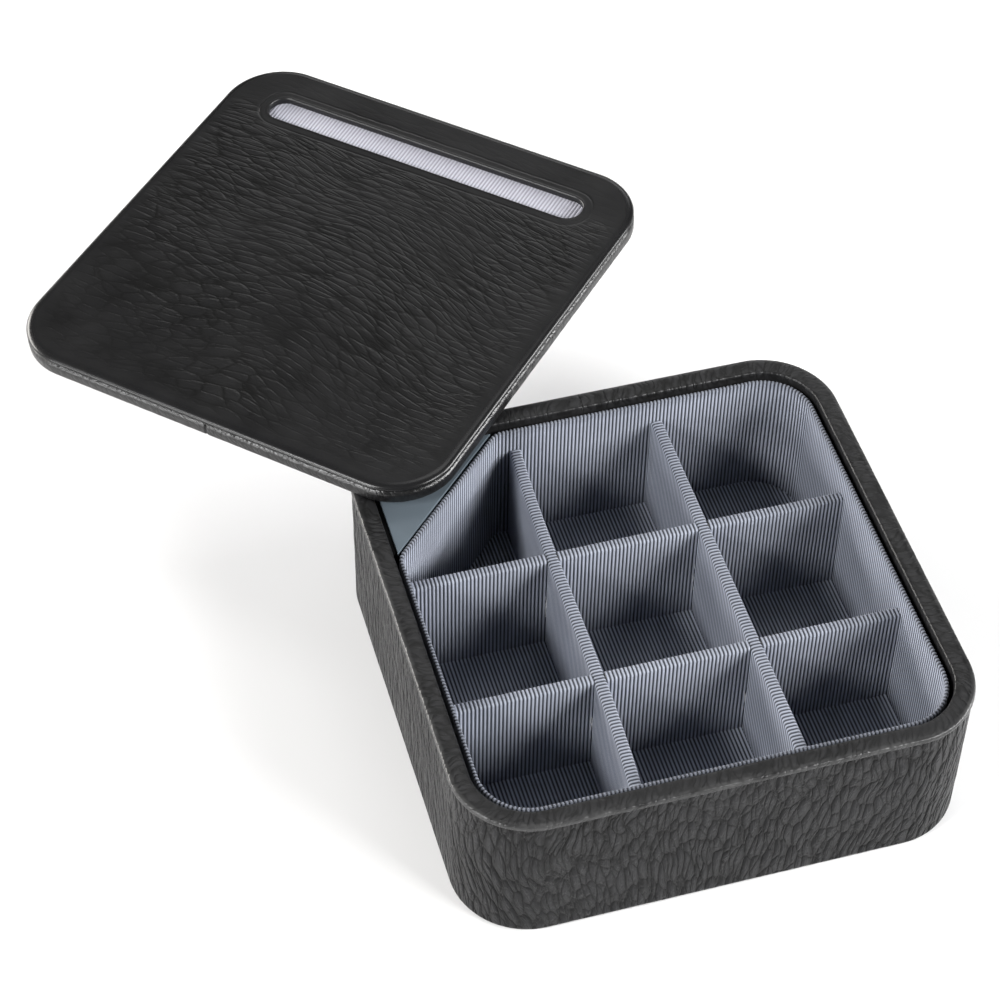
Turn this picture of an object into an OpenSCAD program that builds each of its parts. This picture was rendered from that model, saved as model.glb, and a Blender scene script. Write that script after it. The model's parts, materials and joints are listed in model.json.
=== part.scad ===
// Square jewelry box with nine fabric lined compartments.  Its lid is a flat leather covered
// panel that swings on one pivot in the back left corner.  The pivot leans a little, so the lid
// lies level when closed and lifts off the rim as it swings open.  Millimetres, +Z up, -Y is the
// front.  The origin is the centre of the underside.  The lid is drawn swung open.

/* [Box] */
// Width of the box over the leather
box_w = 150; // [142:1:170]
// Depth of the box over the leather
box_d = 150; // [142:1:170]
// Height of the rim above the table
box_h = 50; // [44:1:70]
// Outer radius of the upright corners
corner_r = 22.5; // [20:0.5:26]
// Thickness of the wooden wall frame
wall_t = 3.9; // [3:0.1:5]
// Thickness of the leather that wraps the walls
leather_t = 0.9; // [0.6:0.1:1.2]
// Depth to which the rim leather is turned down inside
turn_in = 15; // [14:1:20]

/* [Liner and compartments] */
// Clear gap between the wall and the fabric liner
liner_gap = 1.2; // [0.8:0.1:2]
// Thickness of the liner's card
liner_card_t = 0.5; // [0.5:0.1:1.4]
// Thickness of the ribbed fabric
fabric_t = 0.4; // [0.4:0.05:0.5]
// Distance of the liner's top edge below the rim
liner_drop = 2; // [1.5:0.5:4]
// Length cut off the liner's back left corner, along each side
corner_cut = 40; // [36:1:44]
// Distance between the middles of neighbouring dividers
divider_pitch = 46.2; // [43:0.1:48]
// Thickness of a divider over its fabric
divider_t = 3.6; // [3:0.1:4.4]
// Height of the dividers' tops above the table
divider_top = 40; // [34:1:42]

/* [Lid] */
// Distance of the closed lid's edge inside the box's sides
lid_inset = 1; // [0.5:0.5:2]
// Thickness of the whole lid
lid_t = 7; // [7:0.5:9]
// Outer radius of the lid's corners
lid_corner_r = 19.5; // [18:0.5:22]
// Clear gap between the closed lid and the rim
lid_gap = 1.2; // [1.1:0.1:2]
// Length of the opening in the lid's top panel that shows the ribbon
slot_len = 115; // [60:1:118]
// Width of that opening
slot_w = 10; // [6:0.5:14]
// Distance of the opening from the lid's front edge
slot_inset = 14; // [10:1:20]

/* [Swivel] */
// Distance of the pivot inside the box's back and left sides
pivot_inset = 16.6; // [16:0.1:17.5]
// Angle through which the drawn lid is swung open
open_angle = 135; // [0:1:180]
// Lean of the pivot away from upright, which lifts the lid off the rim as it swings
pivot_lean = 1.65; // [0:0.05:1.7]
// Direction in which the pivot leans, from +X towards +Y
pivot_lean_dir = 200; // [180:5:220]
// Diameter of the pivot stud
stud_d = 5; // [4:0.5:5.5]
// Radial clearance of the stud in its bush
stud_clear = 0.05; // [0.02:0.01:0.1]

/* [Hidden] */
$fn = 64;

eps = 0.01; // how far a cutter runs past the face it cuts

// levels, upwards from the table
cover_top = 0.4;
wrap_under_t = 0.6;
wall_bottom = cover_top + wrap_under_t;
base_board_top = 2.4;
floor_card_t = 0.8;
floor_fabric_bottom = base_board_top + floor_card_t;
floor_top = floor_fabric_bottom + fabric_t;
rim_leather_t = 0.9;
wall_top = box_h - rim_leather_t;
liner_top = box_h - liner_drop;
plate_t = 1.2;
plate_top = liner_top;
plate_bottom = plate_top - plate_t;
block_h = 11.5;
block_bottom = plate_bottom - block_h;

// insets of the walls' faces from the box's sides
rim_proud = 0.3;
wrap_in = rim_proud + leather_t;
wall_in = wrap_in + wall_t;
turn_in_t = 0.7;
rim_in = wall_in + turn_in_t;
rim_lip_h = 0.9;
liner_in = rim_in + liner_gap;
liner_r = corner_r - liner_in;
liner_bend_r = 6.8;
liner_turn_down = 7.6;
liner_t = liner_card_t + 2 * fabric_t;
floor_clear = 0.1;

// the nearest that the corner's diagonal line y - x = const comes to the middle of the box
liner_diagonal = box_w / 2 + box_d / 2 - 2 * liner_in - corner_cut;

// dividers
divider_end_gap = 0.1;
divider_len_x = box_w - 2 * (liner_in + liner_t + divider_end_gap);
divider_len_y = box_d - 2 * (liner_in + liner_t + divider_end_gap);
notch_clear = 0.05;
notch_z = (floor_top + divider_top) / 2;

// corner plate, and its screws counted from the pivot
plate_in = rim_in + 1.6;
plate_diagonal = liner_diagonal + 0.7;
block_in = rim_in + 0.1;
block_diagonal = liner_diagonal + 2.5;
plate_screw_offsets = [[-4.6, -6.4], [6.4, 4.6], [5.9, -5.9]];
screw_head_r = 2.7;
screw_r = 1.25;
screw_len = 9;
drive_w = 0.6;
drive_depth = 0.5;

// lid levels, with the lid closed
lid_bottom = box_h + lid_gap;
lid_lining_t = 0.5;
lid_top = lid_bottom + lid_t;
lid_skin_t = 0.8;
lid_top_board_t = 1.5;
lid_groove_h = 0.6;
lid_base_top = lid_top - lid_skin_t - lid_top_board_t;
lid_skirt_bottom = lid_base_top + lid_groove_h;
lid_lining_in = 2.5;
lid_edge_t = 0.9;
lid_groove_in = 1.8;
ribbon_t = 0.4;
ribbon_margin = 2.5;
lid_w = box_w - 2 * lid_inset;
lid_d = box_d - 2 * lid_inset;
slot_y = -lid_d / 2 + slot_inset + slot_w / 2;

// swivel, measured up the leaning pivot from the rim's level
pivot_x = -box_w / 2 + pivot_inset;
pivot_y = box_d / 2 - pivot_inset;
stud_r = stud_d / 2;
bush_bore_r = stud_r + stud_clear;
bush_r = stud_r + 1.5;
bush_top = plate_top - box_h + 0.85;
bush_bottom = block_bottom - box_h - 0.2;
disc_r = 11;
disc_t = 1.2;
disc_clear = 0.2;
disc_screw_pcr = 8;
disc_screw_head_r = 2.2;
disc_screw_r = 1;
disc_screw_len = 4.2;
washer_r = 6;
washer_gap = 0.15;
washer_bore_r = stud_r + 0.1;
washer_top = lid_gap - 0.25;
stud_head_r = stud_r + 2;
stud_head_z = lid_gap + disc_t + 0.15;
stud_head_t = 1.2;
spring_r = 5.5;
spring_t = 0.85;
nut_af = 8;
nut_h = 3.2;
nut_top = bush_bottom - washer_gap - spring_t - 0.05;
stud_bottom = nut_top - nut_h - 1.2;

leather_col = [0.09, 0.09, 0.10];
fabric_col = [0.45, 0.47, 0.55];
board_col = [0.62, 0.50, 0.36];
card_col = [0.72, 0.70, 0.66];
plate_col = [0.47, 0.52, 0.58];
steel_col = [0.70, 0.71, 0.73];

// ---- outlines ----

function unit(v) = v / norm(v);

// rounds corner p between its neighbours a and b: both tangent points, then the centre
function corner_points(p, a, b, r) =
    let (u = unit(a - p), v = unit(b - p), half = acos(u * v) / 2, t = r / tan(half))
    [p + t * u, p + t * v, p + r / sin(half) * unit(u + v)];

module rounded_polygon(points, radii) {
    n = len(points);
    corners = [for (i = [0:n - 1])
        corner_points(points[i], points[(i + n - 1) % n], points[(i + 1) % n], radii[i])];
    polygon([for (c = corners) each [c[0], c[1]]]);
    for (i = [0:n - 1])
        translate(corners[i][2]) circle(radii[i]);
}

// a rectangle with round corners, inset all round from w by d with corner radius r
module rounded_rect(w, d, r, inset = 0) {
    hw = w / 2 - inset;
    hd = d / 2 - inset;
    rr = r - inset;
    square([2 * (hw - rr), 2 * hd], center = true);
    square([2 * hw, 2 * (hd - rr)], center = true);
    for (x = [-1, 1], y = [-1, 1])
        translate([x * (hw - rr), y * (hd - rr)]) circle(rr);
}

module box_outline(inset) { rounded_rect(box_w, box_d, corner_r, inset); }

module lid_outline(inset) { rounded_rect(lid_w, lid_d, lid_corner_r, inset); }

// the liner's plan, inset from its outer face, with the back left corner cut off
module liner_outline(inset) {
    x = box_w / 2 - liner_in - inset;
    y = box_d / 2 - liner_in - inset;
    diagonal = liner_diagonal - inset * sqrt(2);
    r = liner_r - inset;
    bend = liner_bend_r - inset;
    rounded_polygon(
        [[x, -y], [x, y], [y - diagonal, y], [-x, diagonal - x], [-x, -y]],
        [r, r, bend, bend, r]);
}

// the triangle that fills the cut off corner, behind the line y - x = diagonal
module corner_triangle(inset, diagonal) {
    x = box_w / 2;
    y = box_d / 2;
    intersection() {
        box_outline(inset);
        polygon([[-x, y], [-x, diagonal - x], [y - diagonal, y]]);
    }
}

module obround(length, width) {
    square([length - width, width], center = true);
    for (x = [-1, 1])
        translate([x * (length - width) / 2, 0]) circle(width / 2);
}

// ---- solids ----

// a prism between two levels
module slab(z0, z1) {
    translate([0, 0, z0]) linear_extrude(z1 - z0) children();
}

// a wall between an outer and an inner inset of the box, the liner or the lid
module box_ring(outer, inner, z0, z1) {
    slab(z0, z1) difference() { box_outline(outer); box_outline(inner); }
}

module liner_ring(outer, inner, z0, z1) {
    slab(z0, z1) difference() { liner_outline(outer); liner_outline(inner); }
}

module lid_ring(outer, inner, z0, z1) {
    slab(z0, z1) difference() { lid_outline(outer); lid_outline(inner); }
}

// puts its children in the leaning frame of the pivot, whose origin is at the rim's level
module at_pivot() {
    translate([pivot_x, pivot_y, box_h])
        rotate([0, 0, pivot_lean_dir]) rotate([0, pivot_lean, 0]) rotate([0, 0, -pivot_lean_dir])
            children();
}

module from_pivot() {
    rotate([0, 0, pivot_lean_dir]) rotate([0, -pivot_lean, 0]) rotate([0, 0, -pivot_lean_dir])
        translate([-pivot_x, -pivot_y, -box_h])
            children();
}

// swings a closed lid's piece open about the pivot
module swung_open() {
    at_pivot() rotate([0, 0, open_angle]) from_pivot() children();
}

module pivot_cylinder(r, z0, z1) {
    at_pivot() translate([0, 0, z0]) cylinder(h = z1 - z0, r = r);
}

// ---- walls and base ----

module base_cover() {
    color([0.16, 0.16, 0.17]) slab(0, cover_top) box_outline(rim_proud + 1.5);
}

module base_board() {
    color(board_col) slab(cover_top, base_board_top) box_outline(wall_in + floor_clear);
}

module wall_frame() {
    color(board_col) box_ring(wrap_in, wall_in, wall_bottom, wall_top);
}

module side_leather() {
    color(leather_col) {
        box_ring(rim_proud, wrap_in, cover_top, wall_top);
        box_ring(wrap_in, wall_in, cover_top, wall_bottom);
    }
}

module rim_leather() {
    color(leather_col) {
        box_ring(0, rim_in, wall_top, box_h);
        box_ring(wall_in, rim_in, box_h - turn_in, wall_top);
        box_ring(0, rim_proud, wall_top - rim_lip_h, wall_top);
    }
}

// ---- liner and floor ----

module liner_card() {
    color(card_col)
        liner_ring(fabric_t, fabric_t + liner_card_t, base_board_top, liner_top - fabric_t);
}

module liner_fabric() {
    color(fabric_col) {
        liner_ring(0, liner_t, liner_top - fabric_t, liner_top);
        liner_ring(0, fabric_t, liner_top - liner_turn_down, liner_top - fabric_t);
        liner_ring(fabric_t + liner_card_t, liner_t, base_board_top, liner_top - fabric_t);
    }
}

module floor_card() {
    color(card_col)
        slab(base_board_top, floor_fabric_bottom) liner_outline(liner_t + 2 * floor_clear);
}

module floor_fabric() {
    color(fabric_col) slab(floor_fabric_bottom, floor_top) liner_outline(liner_t + floor_clear);
}

// ---- dividers ----

// a divider's section: straight sides, with a round top
module divider_section(t, top) {
    translate([-t / 2, floor_top]) square([t, top - t / 2 - floor_top]);
    translate([0, top - t / 2]) circle(t / 2);
}

// a divider along Y, at x = 0
module divider_solid(length, t, top) {
    rotate([90, 0, 0]) linear_extrude(length, center = true) divider_section(t, top);
}

// notches where the two dividers of the other direction cross; the long dividers are cut from
// below and the cross dividers from above, so that they slide into each other
module divider_notches(z0, z1) {
    for (y = [-1, 1])
        translate([0, y * divider_pitch / 2, (z0 + z1) / 2])
            cube([divider_t + 1, divider_t + 2 * notch_clear, z1 - z0], center = true);
}

module divider_core(length, z0, z1) {
    color(card_col) difference() {
        divider_solid(length, divider_t - 2 * fabric_t, divider_top - fabric_t);
        divider_notches(z0, z1);
    }
}

module divider_fabric(length, z0, z1) {
    color(fabric_col) difference() {
        divider_solid(length, divider_t, divider_top);
        divider_solid(length + 1, divider_t - 2 * fabric_t, divider_top - fabric_t);
        translate([0, 0, floor_top - 1])
            cube([divider_t - 2 * fabric_t, length + 1, 4], center = true);
        divider_notches(z0, z1);
    }
}

module long_place(side) { translate([side * divider_pitch / 2, 0, 0]) children(); }

module cross_place(side) {
    translate([0, side * divider_pitch / 2, 0]) rotate([0, 0, 90]) children();
}

module long_core(side) {
    long_place(side) divider_core(divider_len_y, floor_top - 1, notch_z);
}

module long_fabric(side) {
    long_place(side) divider_fabric(divider_len_y, floor_top - 1, notch_z);
}

module cross_core(side) {
    cross_place(side) divider_core(divider_len_x, notch_z, divider_top + 1);
}

module cross_fabric(side) {
    cross_place(side) divider_fabric(divider_len_x, notch_z, divider_top + 1);
}

module long_divider_left_core() { long_core(-1); }
module long_divider_left_fabric() { long_fabric(-1); }
module long_divider_right_core() { long_core(1); }
module long_divider_right_fabric() { long_fabric(1); }
module cross_divider_front_core() { cross_core(-1); }
module cross_divider_front_fabric() { cross_fabric(-1); }
module cross_divider_back_core() { cross_core(1); }
module cross_divider_back_fabric() { cross_fabric(1); }

// ---- corner that carries the pivot ----

module at_plate_screws() {
    for (p = plate_screw_offsets)
        translate([pivot_x + p[0], pivot_y + p[1], plate_top]) children();
}

module corner_block() {
    color(board_col) difference() {
        slab(block_bottom, plate_bottom) corner_triangle(block_in, block_diagonal);
        pivot_cylinder(bush_r, bush_bottom - 5, bush_top + 5);
        at_plate_screws() translate([0, 0, -screw_len]) cylinder(h = screw_len, r = screw_r);
    }
}

module corner_plate() {
    color(plate_col) difference() {
        slab(plate_bottom, plate_top) corner_triangle(plate_in, plate_diagonal);
        pivot_cylinder(bush_r, bush_bottom - 5, bush_top + 5);
        at_plate_screws() {
            translate([0, 0, -plate_t - eps]) cylinder(h = plate_t + 2 * eps, r = screw_r);
            translate([0, 0, -plate_t]) cylinder(h = plate_t, r1 = screw_r, r2 = screw_head_r);
        }
    }
}

// a countersunk screw whose head's face is at z = 0, pointing down
module countersunk_screw(head_r, shank_r, head_t, length) {
    difference() {
        union() {
            translate([0, 0, -head_t]) cylinder(h = head_t, r1 = shank_r, r2 = head_r);
            translate([0, 0, -length]) cylinder(h = length - head_t, r = shank_r);
        }
        for (a = [0, 90])
            rotate([0, 0, a + 45])
                translate([-head_r * 0.6, -drive_w / 2, -drive_depth])
                    cube([head_r * 1.2, drive_w, drive_depth + eps]);
    }
}

module corner_plate_screws() {
    color(steel_col) at_plate_screws()
        countersunk_screw(screw_head_r, screw_r, plate_t, screw_len);
}

module pivot_bush() {
    color([0.72, 0.60, 0.34]) difference() {
        pivot_cylinder(bush_r, bush_bottom, bush_top);
        pivot_cylinder(bush_bore_r, bush_bottom - 1, bush_top + 1);
    }
}

// ---- lid, each piece drawn closed and then swung open ----

module at_disc_screws() {
    for (a = [90, 210, 330])
        translate([pivot_x + disc_screw_pcr * cos(a), pivot_y + disc_screw_pcr * sin(a), lid_bottom])
            children();
}

module disc_outline(r) { translate([pivot_x, pivot_y]) circle(r); }

module slot_outline(margin) {
    translate([0, slot_y]) obround(slot_len + 2 * margin, slot_w + 2 * margin);
}

module lid_lining() {
    color([0.40, 0.41, 0.46]) swung_open()
        slab(lid_bottom, lid_bottom + lid_lining_t) difference() {
            lid_outline(lid_lining_in);
            disc_outline(disc_r + disc_clear);
        }
}

module lid_base_board() {
    color(board_col) swung_open() difference() {
        slab(lid_bottom + lid_lining_t, lid_base_top) lid_outline(lid_edge_t);
        slab(lid_bottom, lid_bottom + disc_t) disc_outline(disc_r + disc_clear);
        slab(lid_base_top - ribbon_t, lid_base_top + 1) slot_outline(ribbon_margin);
        pivot_cylinder(stud_head_r + 0.4, lid_gap, stud_head_z + stud_head_t + 0.3);
        at_disc_screws() cylinder(h = disc_screw_len, r = disc_screw_r);
    }
}

module lid_edge_leather() {
    color(leather_col) swung_open() {
        lid_ring(0, lid_edge_t, lid_bottom, lid_base_top);
        lid_ring(lid_edge_t, lid_lining_in, lid_bottom, lid_bottom + lid_lining_t);
    }
}

module lid_top_board() {
    color(card_col) swung_open() difference() {
        union() {
            slab(lid_base_top, lid_skirt_bottom) lid_outline(lid_groove_in);
            slab(lid_skirt_bottom, lid_top - lid_skin_t) lid_outline(lid_skin_t);
        }
        slab(lid_base_top - 1, lid_top) slot_outline(lid_skin_t);
    }
}

module lid_top_leather() {
    color(leather_col) swung_open() {
        slab(lid_top - lid_skin_t, lid_top) difference() {
            lid_outline(0);
            slot_outline(0);
        }
        lid_ring(0, lid_skin_t, lid_skirt_bottom, lid_top - lid_skin_t);
        slab(lid_base_top, lid_top - lid_skin_t) difference() {
            slot_outline(lid_skin_t);
            slot_outline(0);
        }
    }
}

module slot_ribbon() {
    color([0.62, 0.63, 0.72]) swung_open()
        slab(lid_base_top - ribbon_t, lid_base_top) slot_outline(ribbon_margin - floor_clear);
}

module lid_pivot_disc() {
    color(steel_col) swung_open() difference() {
        slab(lid_bottom, lid_bottom + disc_t) disc_outline(disc_r);
        pivot_cylinder(washer_bore_r, 0, stud_head_z + 1);
        at_disc_screws() {
            translate([0, 0, -eps]) cylinder(h = disc_t + 2 * eps, r = disc_screw_r);
            cylinder(h = disc_t, r1 = disc_screw_head_r, r2 = disc_screw_r);
        }
    }
}

module lid_disc_screws() {
    color(steel_col) swung_open() at_disc_screws()
        mirror([0, 0, 1])
            countersunk_screw(disc_screw_head_r, disc_screw_r, disc_t, disc_screw_len);
}

module pivot_stud() {
    color(steel_col) {
        pivot_cylinder(stud_r, stud_bottom, stud_head_z);
        pivot_cylinder(stud_head_r, stud_head_z, stud_head_z + stud_head_t);
    }
}

// a washer on the stud between two levels of the pivot's frame
module pivot_washer(r, z0, z1) {
    difference() {
        pivot_cylinder(r, z0, z1);
        pivot_cylinder(washer_bore_r, z0 - 1, z1 + 1);
    }
}

module spacer_washer() {
    color([0.85, 0.85, 0.82]) pivot_washer(washer_r, bush_top + washer_gap, washer_top);
}

module spring_washer() {
    color(steel_col)
        pivot_washer(spring_r, bush_bottom - washer_gap - spring_t, bush_bottom - washer_gap);
}

module pivot_nut() {
    color(steel_col) difference() {
        at_pivot() translate([0, 0, nut_top - nut_h])
            cylinder(h = nut_h, r = nut_af / 2 / cos(30), $fn = 6);
        pivot_cylinder(stud_r, nut_top - nut_h - 1, nut_top + 1);
    }
}

base_cover();
base_board();
wall_frame();
side_leather();
rim_leather();
liner_card();
liner_fabric();
floor_card();
floor_fabric();
long_divider_left_core();
long_divider_left_fabric();
long_divider_right_core();
long_divider_right_fabric();
cross_divider_front_core();
cross_divider_front_fabric();
cross_divider_back_core();
cross_divider_back_fabric();
corner_block();
corner_plate();
corner_plate_screws();
pivot_bush();
lid_lining();
lid_base_board();
lid_edge_leather();
lid_top_board();
lid_top_leather();
slot_ribbon();
lid_pivot_disc();
lid_disc_screws();
pivot_stud();
spacer_washer();
spring_washer();
pivot_nut();
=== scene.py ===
"""Looks of the jewelry box: leather, grosgrain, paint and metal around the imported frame."""
import json
import math

import bpy
import numpy as np
from mathutils import Matrix, Vector
from mathutils.geometry import delaunay_2d_cdt


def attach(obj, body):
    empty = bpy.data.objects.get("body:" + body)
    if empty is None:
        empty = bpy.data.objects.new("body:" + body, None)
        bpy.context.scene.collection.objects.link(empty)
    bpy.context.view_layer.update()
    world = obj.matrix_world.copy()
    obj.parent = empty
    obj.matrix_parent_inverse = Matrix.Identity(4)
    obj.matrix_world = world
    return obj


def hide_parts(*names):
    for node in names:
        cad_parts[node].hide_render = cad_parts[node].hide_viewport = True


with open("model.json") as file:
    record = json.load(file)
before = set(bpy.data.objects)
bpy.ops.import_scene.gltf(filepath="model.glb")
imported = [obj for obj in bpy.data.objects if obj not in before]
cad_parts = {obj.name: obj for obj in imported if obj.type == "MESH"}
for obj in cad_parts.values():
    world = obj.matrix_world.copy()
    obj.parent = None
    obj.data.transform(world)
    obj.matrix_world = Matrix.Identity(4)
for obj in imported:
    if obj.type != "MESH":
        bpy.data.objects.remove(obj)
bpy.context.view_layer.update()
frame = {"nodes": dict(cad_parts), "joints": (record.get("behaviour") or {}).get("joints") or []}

MM = 0.001

# camera, as the photograph was taken
CAMERA_AZIMUTH = -16.69
CAMERA_ELEVATION = 48.06
CAMERA_ROLL = 0.96
CAMERA_DISTANCE = 831.8
CAMERA_TARGET = (-31.6, 48.14, 40.0)
CAMERA_LENS = 101.35
SENSOR = 36.0

# sizes in millimetres, named as on the object
BOX_CORNER_R = 22.5
LIP_PROUD = 0.3
LEATHER_T = 0.9
WALL_IN = 5.1
LINER_IN = 7.0
LINER_CUT = 40.0
LINER_BEND_R = 6.8
FABRIC_T = 0.4
LINER_CARD_T = 0.5
LINER_T = LINER_CARD_T + 2 * FABRIC_T
DIVIDER_T = 3.6
NOTCH_CLEAR = 0.05
RIB_PITCH = 1.16
RIB_SAMPLES = 6
RIB_DEPTH = 0.24
RIB_PROUD = 0.03
THREAD_PITCH = 0.31
LID_CORNER_R = 19.5
LID_SKIN_T = 0.8
LID_GROOVE_IN = 1.8
LID_ROLL_W = 2.4
LID_ROLL_H = 1.4
LID_RIM_W = 4.2
LINING_IN = 2.5
DISC_R = 11.2
SLOT_LEN = 115.0
SLOT_W = 10.0
SLOT_INSET = 14.0
SLOT_RIM_W = 5.6
RIBBON_MARGIN = 2.4

# where ends of the rim's strip meet: from the middle of the front, and of the back
RIM_FRONT_JOINTS = (-36.1, 42.5)
RIM_BACK_JOINTS = (2.0, -56.4)

# studio, in metres
LIGHT_DISTANCE = 1.6
FLOOR_HALF = 6.0
WORLD_STRENGTH = 0.03

# how fine the meshes are, in millimetres
COLUMN_STEP = 0.58
STRIP_STEP = 0.5
LID_STEP = 0.55


# ---- numbers read from the frame ----

def node_points(node):
    """A CAD node's vertices at rest, in millimetres."""
    mesh = frame["nodes"][node].data
    points = np.empty(len(mesh.vertices) * 3)
    mesh.vertices.foreach_get("co", points)
    return points.reshape(-1, 3) / MM


def lid_opening():
    """The turn that takes the closed lid to where it rests."""
    joint = frame["joints"][0]
    place = Matrix.Translation(Vector(joint["pos_m"]))
    turn = Matrix.Rotation(math.radians(-joint["range_deg"][0]), 4, Vector(joint["axis"]))
    return place @ turn @ place.inverted()


def closed_box(node):
    """Lowest and highest corner of a lid node with the lid closed, in millimetres."""
    back = np.array(lid_opening().inverted())
    points = node_points(node) @ back[:3, :3].T + back[:3, 3] / MM
    return points.min(0), points.max(0)


def rest_box(node):
    """Lowest and highest corner of a node at rest, in millimetres."""
    points = node_points(node)
    return points.min(0), points.max(0)


# ---- repeatable noise ----

def hashed(ix, iy, seed):
    """A repeatable number from 0 to 1 for each whole-numbered cell."""
    h = (ix.astype(np.int64) * 374761393 + iy.astype(np.int64) * 668265263 + seed * 974634777)
    h = h & 0xFFFFFFFF
    h = ((h ^ (h >> 13)) * 1274126177) & 0xFFFFFFFF
    return ((h ^ (h >> 16)) & 0xFFFFFF) / float(0xFFFFFF)


def noise(x, y, seed):
    """Smooth noise from -1 to 1, with one feature in each unit cell."""
    x, y = np.broadcast_arrays(np.asarray(x, float), np.asarray(y, float))
    ix, iy = np.floor(x), np.floor(y)
    fx, fy = x - ix, y - iy
    ux, uy = fx * fx * (3 - 2 * fx), fy * fy * (3 - 2 * fy)
    low = hashed(ix, iy, seed) * (1 - ux) + hashed(ix + 1, iy, seed) * ux
    high = hashed(ix, iy + 1, seed) * (1 - ux) + hashed(ix + 1, iy + 1, seed) * ux
    return 2 * (low * (1 - uy) + high * uy) - 1


def layered(x, y, seed, layers=3):
    """Noise with finer layers of half the size and half the height."""
    return sum(noise(x * 2 ** k, y * 2 ** k, seed + k) / 2 ** k for k in range(layers))


def cell_creases(x, y, seed):
    """Distance from the edges between scattered cells: 0 on an edge, about 1 in a middle."""
    ix, iy = np.floor(x), np.floor(y)
    nearest = np.full(x.shape, 9.0)
    second = np.full(x.shape, 9.0)
    for i in (-1, 0, 1):
        for j in (-1, 0, 1):
            px = ix + i + hashed(ix + i, iy + j, seed)
            py = iy + j + hashed(ix + i, iy + j, seed + 7)
            d = np.hypot(px - x, py - y)
            second = np.minimum(second, np.maximum(nearest, d))
            nearest = np.minimum(nearest, d)
    return second - nearest


def smoothstep(low, high, value):
    t = np.clip((value - low) / (high - low), 0, 1)
    return t * t * (3 - 2 * t)


# ---- outlines ----

def facing(angle):
    """The unit vector at an angle."""
    return np.array([math.cos(angle), math.sin(angle)])


class Outline:
    """A closed outline, counter-clockwise, of straight sides and round corners, read by length."""

    def __init__(self, points, radii):
        points = [np.array(p, float) for p in points]
        arcs = [self.corner(points[k - 1], points[k], points[(k + 1) % len(points)], r)
                for k, r in enumerate(radii)]
        rows = []
        for (centre, r, start, end), following in zip(arcs, arcs[1:] + arcs[:1]):
            side_start = centre + r * facing(end)
            side_end = following[0] + following[1] * facing(following[2])
            rows.append((centre, r, start, 0.0, r * (end - start)))
            rows.append((side_start, 0.0, end, 1.0, np.linalg.norm(side_end - side_start)))
        self.base, self.radius, self.angle, self.straight, lengths = map(np.array, zip(*rows))
        self.starts = np.concatenate([[0], np.cumsum(lengths)[:-1]])
        self.length = float(lengths.sum())
        self.zero = self.length - lengths[-1] / 2

    @staticmethod
    def corner(before, p, after, r):
        """Centre, radius and first and last outward angle of a rounded corner."""
        u = (before - p) / np.linalg.norm(before - p)
        v = (after - p) / np.linalg.norm(after - p)
        half = math.acos(float(u @ v)) / 2
        middle = (u + v) / np.linalg.norm(u + v)
        out = math.atan2(-middle[1], -middle[0])
        spread = math.pi / 2 - half
        return p + r / math.sin(half) * middle, r, out - spread, out + spread

    def at(self, s):
        """Points and outward normals at lengths s, counted from the middle of the last side."""
        s = (np.asarray(s, float) + self.zero) % self.length
        k = np.searchsorted(self.starts, s, side="right") - 1
        t = s - self.starts[k]
        radius = self.radius[k]
        angle = self.angle[k] + np.where(radius > 0, t / np.maximum(radius, 1e-9), 0)
        normal = np.stack([np.cos(angle), np.sin(angle)], -1)
        along = np.stack([-np.sin(angle), np.cos(angle)], -1)
        return self.base[k] + radius[:, None] * normal + (self.straight[k] * t)[:, None] * along, normal

    def columns(self, step):
        """Evenly spaced lengths all the way round."""
        return np.arange(0, round(self.length / step)) * self.length / round(self.length / step)


def rectangle_outline(half_x, half_y, r):
    """A rounded rectangle that starts in the middle of its back side."""
    return Outline([(-half_x, half_y), (-half_x, -half_y), (half_x, -half_y), (half_x, half_y)], [r] * 4)


def box_outline():
    half = rest_box("rim_leather")[1]
    return rectangle_outline(half[0], half[1], BOX_CORNER_R)


def liner_outline(inset):
    """The liner's plan with its cut corner, inset from its outer face."""
    half = rest_box("rim_leather")[1]
    x, y = half[0] - LINER_IN - inset, half[1] - LINER_IN - inset
    diagonal = half[0] + half[1] - 2 * LINER_IN - LINER_CUT - inset * math.sqrt(2)
    r, bend = BOX_CORNER_R - LINER_IN - inset, LINER_BEND_R - inset
    return Outline([(y - diagonal, y), (-x, diagonal - x), (-x, -y), (x, -y), (x, y)], [bend, bend, r, r, r])


def lid_outline():
    half = closed_box("lid_top_leather")[1]
    return rectangle_outline(half[0], half[1], LID_CORNER_R)


def slot_centre_y():
    return closed_box("lid_top_leather")[0][1] + SLOT_INSET + SLOT_W / 2


def rect_distance(x, y, half_x, half_y, r):
    """Distance outside a rounded rectangle's edge, negative inside."""
    dx, dy = np.abs(x) - (half_x - r), np.abs(y) - (half_y - r)
    return np.hypot(np.maximum(dx, 0), np.maximum(dy, 0)) + np.minimum(np.maximum(dx, dy), 0) - r


def slot_distance(x, y):
    """Distance outside the lid's slot, negative in it."""
    return rect_distance(x, y - slot_centre_y(), SLOT_LEN / 2, SLOT_W / 2, SLOT_W / 2)


def lid_distance(x, y):
    """Distance outside the lid's edge, negative inside."""
    half = closed_box("lid_top_leather")[1]
    return rect_distance(x, y, half[0], half[1], LID_CORNER_R)


# ---- meshes ----

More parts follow.
